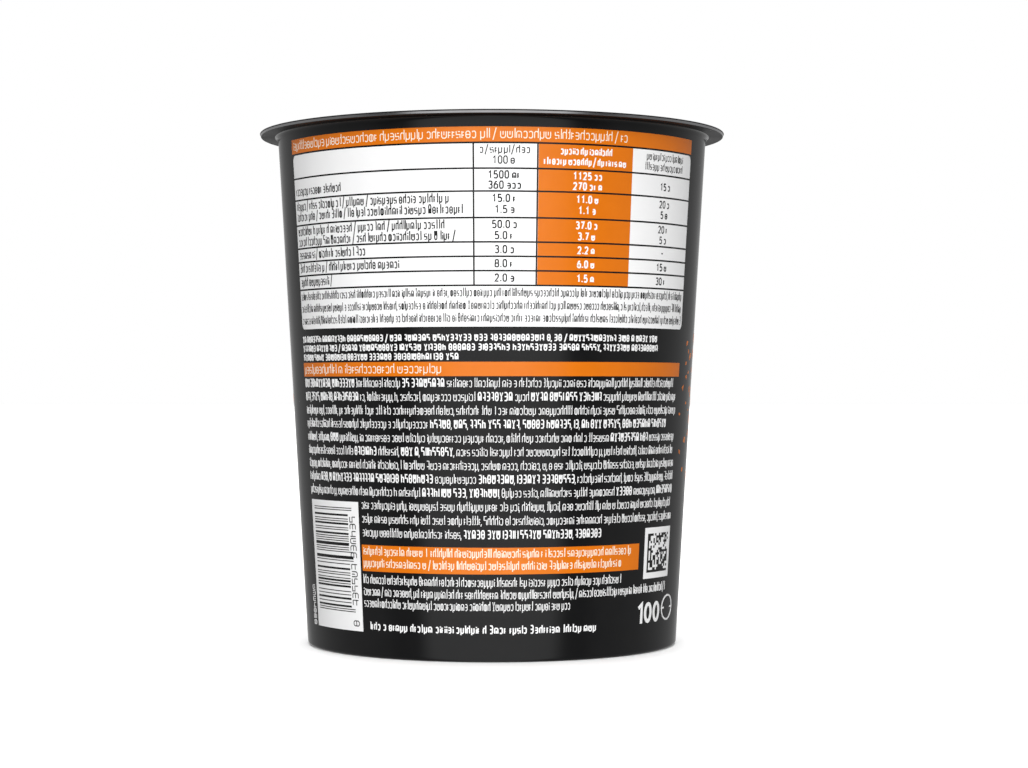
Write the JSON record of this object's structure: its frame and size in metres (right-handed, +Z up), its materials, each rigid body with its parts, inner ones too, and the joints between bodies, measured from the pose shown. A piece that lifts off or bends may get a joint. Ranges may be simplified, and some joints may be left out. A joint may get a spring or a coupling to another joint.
{
  "type": "instant noodle cup",
  "caption": "Shut instant noodle cup: tapered glossy black wall with a printed panel, narrow sealing flange, thin peel-off lid with a folded pull tab, and a recessed foot.",
  "frame": {"origin": "centre of the foot's resting plane, at the bottom centre of the bounding box", "axes": "+Z up along the cup's axis; the printed panel faces -Y; +X is to the right when facing the panel; the pull tab lies at the back, towards +Y"},
  "size_m": [0.097, 0.097, 0.1067],
  "materials": {
    "cup": "satin-gloss black moulded plastic with white, orange and black print",
    "lid": "printed foil laminate, satin black with orange"
  },
  "bodies": {
    "root": {"cup": "cup", "lid": "lid"}
  },
  "joints": []
}
